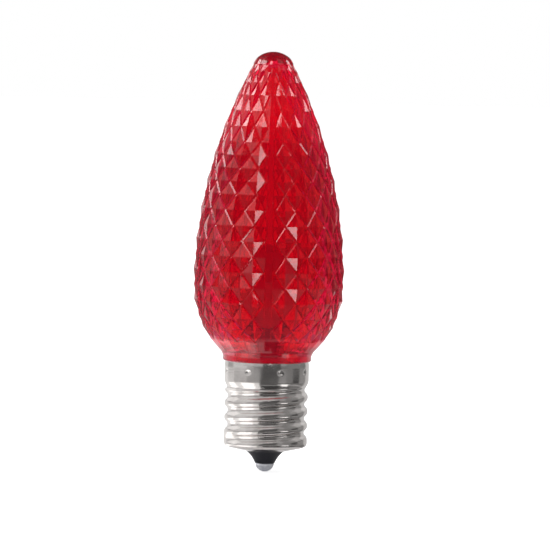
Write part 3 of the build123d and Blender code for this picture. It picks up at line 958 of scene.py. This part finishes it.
def makeShell(s):
    profile, wallFoot = shellProfile(s)
    firstGroove = shellLow.z + s["footBand"]
    threadFoot = wallFoot - s["threadLead"]
    threadTop = firstGroove + s["turns"] * s["pitch"] + s["grooveRadius"]
    n = s["segments"]
    bm = bmesh.new()
    outer, inner = [], []
    for r, z in profile:
        threaded = threadFoot < z < threadTop and r > s["rootRadius"]
        ring, ringInner = [], []
        for i in range(n):
            angle = 360 * i / n - 90
            radius = min(r, threadRadiusAt(s, z, angle, firstGroove)) if threaded else r
            radius = dimpledRadius(s, radius, z, angle)
            ring.append(bm.verts.new(pointAt(radius, angle, 1, z)))
            ringInner.append(bm.verts.new(pointAt(radius - s["sheet"], angle, 1, min(z, shellHigh.z))))
        outer.append(ring)
        inner.append(ringInner)
    # the floor's inner face lies one sheet above it, from a third of the way in
    for ring, (r, z) in zip(inner, profile):
        if z >= wallFoot:
            continue
        lift = max(0.0, min(1.0, (s["threadRadius"] - r) / (s["threadRadius"] - s["holeRadius"]) * 3))
        for v in ring:
            flat = Vector((v.co.x, v.co.y, 0)).normalized() * (r - s["sheet"] * (1 - lift)) * mm
            v.co = Vector((flat.x, flat.y, v.co.z + s["sheet"] * lift * mm))
    for rings, flip in ((outer, False), (inner, True)):
        for low, high in zip(rings, rings[1:]):
            for i in range(n):
                j = (i + 1) % n
                corners = (low[i], low[j], high[j], high[i])
                bm.faces.new(corners[::-1] if flip else corners)
    for i in range(n):
        j = (i + 1) % n
        bm.faces.new((outer[0][j], outer[0][i], inner[0][i], inner[0][j]))
        bm.faces.new((outer[-1][i], outer[-1][j], inner[-1][j], inner[-1][i]))
    smoothAll(bm, s["sharpAngle"])
    return toMesh("screwShell", bm)


addPiece("screwShell", makeShell(shell), nickel, "screw_shell")
print("screw shell made")


def turned(name, profile, ripple=None, segments=96, sharpAngle=40):
    # a closed solid of revolution through (radius, height) points, first and last on the axis
    bm = bmesh.new()
    ends = [bm.verts.new((0, 0, z * mm)) for z in (profile[0][1], profile[-1][1])]
    rings = []
    for r, z in profile[1:-1]:
        ring = []
        for i in range(segments):
            a = 2 * math.pi * i / segments
            outward, upward = ripple(a, r, z) if ripple else (0, 0)
            x, y = (r + outward) * math.sin(a), -(r + outward) * math.cos(a)
            ring.append(bm.verts.new(Vector((x, y, z + upward)) * mm))
        rings.append(ring)
    for i in range(segments):
        j = (i + 1) % segments
        bm.faces.new((ends[0], rings[0][j], rings[0][i]))
        bm.faces.new((ends[1], rings[-1][i], rings[-1][j]))
        for low, high in zip(rings, rings[1:]):
            bm.faces.new((low[i], low[j], high[j], high[i]))
    smoothAll(bm, sharpAngle)
    return toMesh(name, bm)


# Contact: a domed button under a skin of solder with an uneven edge
contact = {
    "height": 1.7, "radius": 1.85, "edge": 0.35, "stemRadius": 0.6, "domeSteps": 14,
    "rimIn": 0.06, "rimDrop": 0.04, "topIn": 0.2, "plainRadius": 0.7,
    "lump": 0.07, "lumpsPerMm": 1.3, "edgeWave": 0.16, "wavesRound": 2.1, "wavyFrom": 0.55,
}


def makeContact(s):
    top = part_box("center_contact")[1].z / mm
    radius, height = s["radius"], s["height"]
    dome = arcThrough(height - s["edge"], radius)
    profile = [(0, 0)]
    for i in range(1, s["domeSteps"] + 1):
        r = radius * math.sin(math.pi / 2 * i / s["domeSteps"])
        profile.append((r, dome - math.sqrt(dome * dome - r * r)))
    profile += [
        (radius, height - s["edge"] / 2), (radius - s["rimIn"], height - s["rimDrop"]),
        (radius - s["topIn"], height), (s["stemRadius"], height), (s["stemRadius"], top), (0, top),
    ]

    def ripple(a, r, z):
        # lumps, and a wave that grows towards the edge of the skin, but not on the stem or the very foot
        if r < s["plainRadius"]:
            return 0, 0
        swell = noise.noise(Vector((math.sin(a) * r, math.cos(a) * r, z)) * s["lumpsPerMm"])
        nearEdge = max(0.0, (z - height * s["wavyFrom"]) / (height * (1 - s["wavyFrom"])))
        wave = noise.noise(Vector((math.sin(a), math.cos(a), 2)) * s["wavesRound"])
        return s["lump"] * swell * min(1, z), nearEdge * s["edgeWave"] * wave
    return turned("contactButton", profile, ripple)


addPiece("contactButton", makeContact(contact), solder, "center_contact")

# Insulator: a moulded plug with a waisted cone below the shell
insulator = {
    "footRadius": 1.95, "waistRise": 1.32, "waistRadius": 2.7, "topRadius": 3.8, "topRise": 2.4,
    "throatRise": 0.35, "discRise": 1.25, "discRadius": 7.15, "bossRadius": 2.6, "bossRise": 1.6,
    "corner": 0.12, "chamfer": 0.1, "coneSteps": 12,
}


def makeInsulator(s):
    low, high = (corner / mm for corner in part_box("insulator"))
    coneTop, discTop = low.z + s["topRise"], high.z - s["bossRise"]
    disc, boss, cut = s["discRadius"], s["bossRadius"], s["chamfer"]
    foot = Vector((s["footRadius"], low.z))
    waist = Vector((s["waistRadius"], low.z + s["waistRise"]))
    top = Vector((s["topRadius"], coneTop))
    pull = waist * 2 - (foot + top) / 2    # draws the curve through the waist
    profile = [(0, low.z), (foot.x - s["corner"], low.z)]
    profile += bend(foot, pull, top, s["coneSteps"])
    profile += [
        (s["topRadius"], coneTop + s["throatRise"]),
        (disc - cut, coneTop + s["discRise"] - cut), (disc, coneTop + s["discRise"]),
        (disc, discTop - cut), (disc - cut, discTop),
        (boss, discTop), (boss, high.z - cut), (boss - cut, high.z), (0, high.z),
    ]
    return turned("insulatorPlug", profile)


addPiece("insulatorPlug", makeInsulator(insulator), phenolic, "insulator")
print("contact and insulator made")

# Carried-over solids inside the lens
insideMaterials = {
    "board_holder": nylon, "circuit_board": laminate, "bridge_rectifier": epoxy,
    "led_front_upper": polyamide, "led_front_lower": polyamide,
    "led_back_upper": polyamide, "led_back_lower": polyamide,
    "resistor_lower": alumina, "resistor_upper": alumina,
    "center_lead": solder, "shell_lead": solder, "board_solder": solder, "shell_solder": solder,
}
for nodeName, material in insideMaterials.items():
    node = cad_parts[nodeName]
    node.data.materials.clear()
    node.data.materials.append(material)
print("inner pieces finished")

bpy.context.scene.view_settings.view_transform = "Standard"
